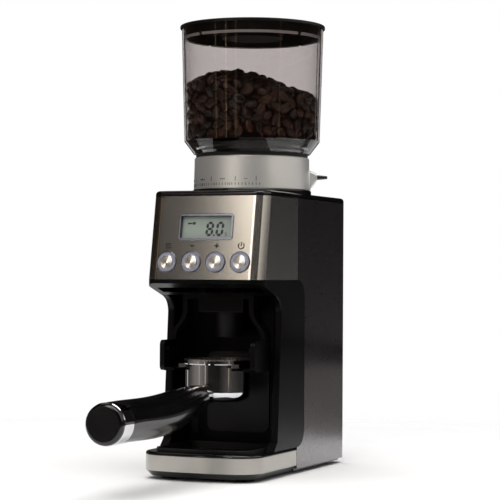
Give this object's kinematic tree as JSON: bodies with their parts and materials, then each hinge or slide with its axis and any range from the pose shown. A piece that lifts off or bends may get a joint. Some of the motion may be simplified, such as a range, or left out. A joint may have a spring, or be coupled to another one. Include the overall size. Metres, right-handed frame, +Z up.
{
  "type": "burr coffee grinder",
  "caption": "Upright burr coffee grinder with a clear bean hopper, grind dial, sloping control panel, and a forked cradle that holds a long-handled filter holder above a drip tray.",
  "frame": {"origin": "on the table under the middle of the overall box, which runs from the end of the handle to the rear cover", "axes": "+Z up, -Y towards the user along the handle, +X to the user's right"},
  "size_m": [0.135, 0.4, 0.4118],
  "materials": {
    "black_gloss": "glossy moulded black",
    "black_matte": "fine-grained moulded black",
    "rubber": "matte",
    "seal": "translucent silicone",
    "charcoal": "satin charcoal with a fine metallic fleck",
    "panel_steel": "brushed across",
    "display_trim": "bright satin",
    "display": "reflective liquid crystal grey-green",
    "board": "lacquered circuit board",
    "ring_grey": "pale lavender grey, translucent",
    "cap_metal": "spun in circles",
    "dial_silver": "satin silver",
    "steel": "machined",
    "chrome": "polished",
    "motor_metal": "zinc plated can",
    "clear": "clear, faintly smoky",
    "beans": "roasted beans"
  },
  "bodies": {
    "housing": {"base": "black_gloss", "front_frame": "black_gloss", "bay_plate": "black_gloss", "top_cover": "black_gloss", "cradle": "black_gloss", "chute_cover": "black_gloss", "base_plate": "black_matte", "panel_backing": "black_matte", "rear_cover": "black_matte", "chute": "black_matte", "chute_nozzle": "black_matte", "start_switch": "black_matte", "gear_case": "black_matte", "gear_cover": "black_matte", "grind_chamber": "black_matte", "mains_inlet": "black_matte", "feet": "rubber", "side_panel_left": "charcoal", "side_panel_right": "charcoal", "control_panel": "panel_steel", "base_band": "panel_steel", "display_frame": "display_trim", "display_module": "display", "control_board": "board", "button_switches": "board", "power_board": "board", "button_rings": "ring_grey", "base_screws": "steel", "rear_screws": "steel", "motor_screws": "steel", "shaft_bearings": "steel", "motor": "motor_metal"},
    "hopper_body": {"hopper": "clear", "neck_ring": "rubber", "coffee_beans": "beans"},
    "lid_body": {"hopper_lid": "black_gloss", "lid_seal": "seal"},
    "dial_body": {"grind_dial": "dial_silver", "dial_lever": "dial_silver", "lever_knob": "black_gloss"},
    "carrier_body": {"burr_carrier": "black_matte", "ring_burr": "steel"},
    "burr_drive": {"drive_gear": "steel", "burr_shaft": "steel", "sweeper": "black_matte", "cone_burr": "steel", "burr_nut": "steel"},
    "motor_drive": {"motor_shaft": "steel", "motor_pinion": "steel"},
    "set_button": {"button_set": "cap_metal"},
    "minus_button": {"button_minus": "cap_metal"},
    "plus_button": {"button_plus": "cap_metal"},
    "power_button": {"button_power": "cap_metal"},
    "filter_holder": {"holder_bowl": "chrome", "filter_basket": "steel", "handle_grip": "black_gloss", "handle_ring": "chrome", "handle_cap": "black_gloss"},
    "tray_body": {"drip_tray": "black_gloss"},
    "plunger_body": {"start_plunger": "black_matte"}
  },
  "joints": [
    {"name": "hopper_lift", "type": "slide", "parent": "housing", "child": "hopper_body", "axis": [0, 0, 1], "range_m": [0, 0.06]},
    {"name": "lid_lift", "type": "slide", "parent": "hopper_body", "child": "lid_body", "axis": [0, 0, 1], "range_m": [0, 0.05]},
    {"name": "dial_turn", "type": "hinge", "parent": "housing", "child": "dial_body", "pos_m": [0, 0.096, 0.27], "axis": [0, 0, 1], "range_deg": [-31, 75]},
    {"name": "burr_gap", "type": "slide", "parent": "housing", "child": "carrier_body", "axis": [0, 0, 1], "range_m": [-0.0004, 0.0009]},
    {"name": "burr_spin", "type": "hinge", "parent": "housing", "child": "burr_drive", "pos_m": [0, 0.096, 0.2], "axis": [0, 0, 1], "continuous": true},
    {"name": "motor_spin", "type": "hinge", "parent": "housing", "child": "motor_drive", "pos_m": [0, 0.13225, 0.17], "axis": [0, 0, 1], "continuous": true},
    {"name": "press_set", "type": "slide", "parent": "housing", "child": "set_button", "axis": [0, 0.9849, -0.173], "range_m": [0, 0.0012], "stiffness_N_per_m": 1200, "springref_m": -0.0005},
    {"name": "press_minus", "type": "slide", "parent": "housing", "child": "minus_button", "axis": [0, 0.9849, -0.173], "range_m": [0, 0.0012], "stiffness_N_per_m": 1200, "springref_m": -0.0005},
    {"name": "press_plus", "type": "slide", "parent": "housing", "child": "plus_button", "axis": [0, 0.9849, -0.173], "range_m": [0, 0.0012], "stiffness_N_per_m": 1200, "springref_m": -0.0005},
    {"name": "press_power", "type": "slide", "parent": "housing", "child": "power_button", "axis": [0, 0.9849, -0.173], "range_m": [0, 0.0012], "stiffness_N_per_m": 1200, "springref_m": -0.0005},
    {"name": "holder_slide", "type": "slide", "parent": "housing", "child": "filter_holder", "axis": [0, -1, 0], "range_m": [0, 0.12]},
    {"name": "tray_lift", "type": "slide", "parent": "housing", "child": "tray_body", "axis": [0, 0, 1], "range_m": [0, 0.025]},
    {"name": "plunger_press", "type": "slide", "parent": "housing", "child": "plunger_body", "axis": [0, 1, 0], "range_m": [0, 0.003], "stiffness_N_per_m": 400, "springref_m": -0.001}
  ],
  "couplings": [
    {"joint": "motor_spin", "follows": "burr_spin", "ratio": -3.8333},
    {"joint": "burr_gap", "follows": "dial_turn", "m_per_rad": 0.00063662}
  ]
}
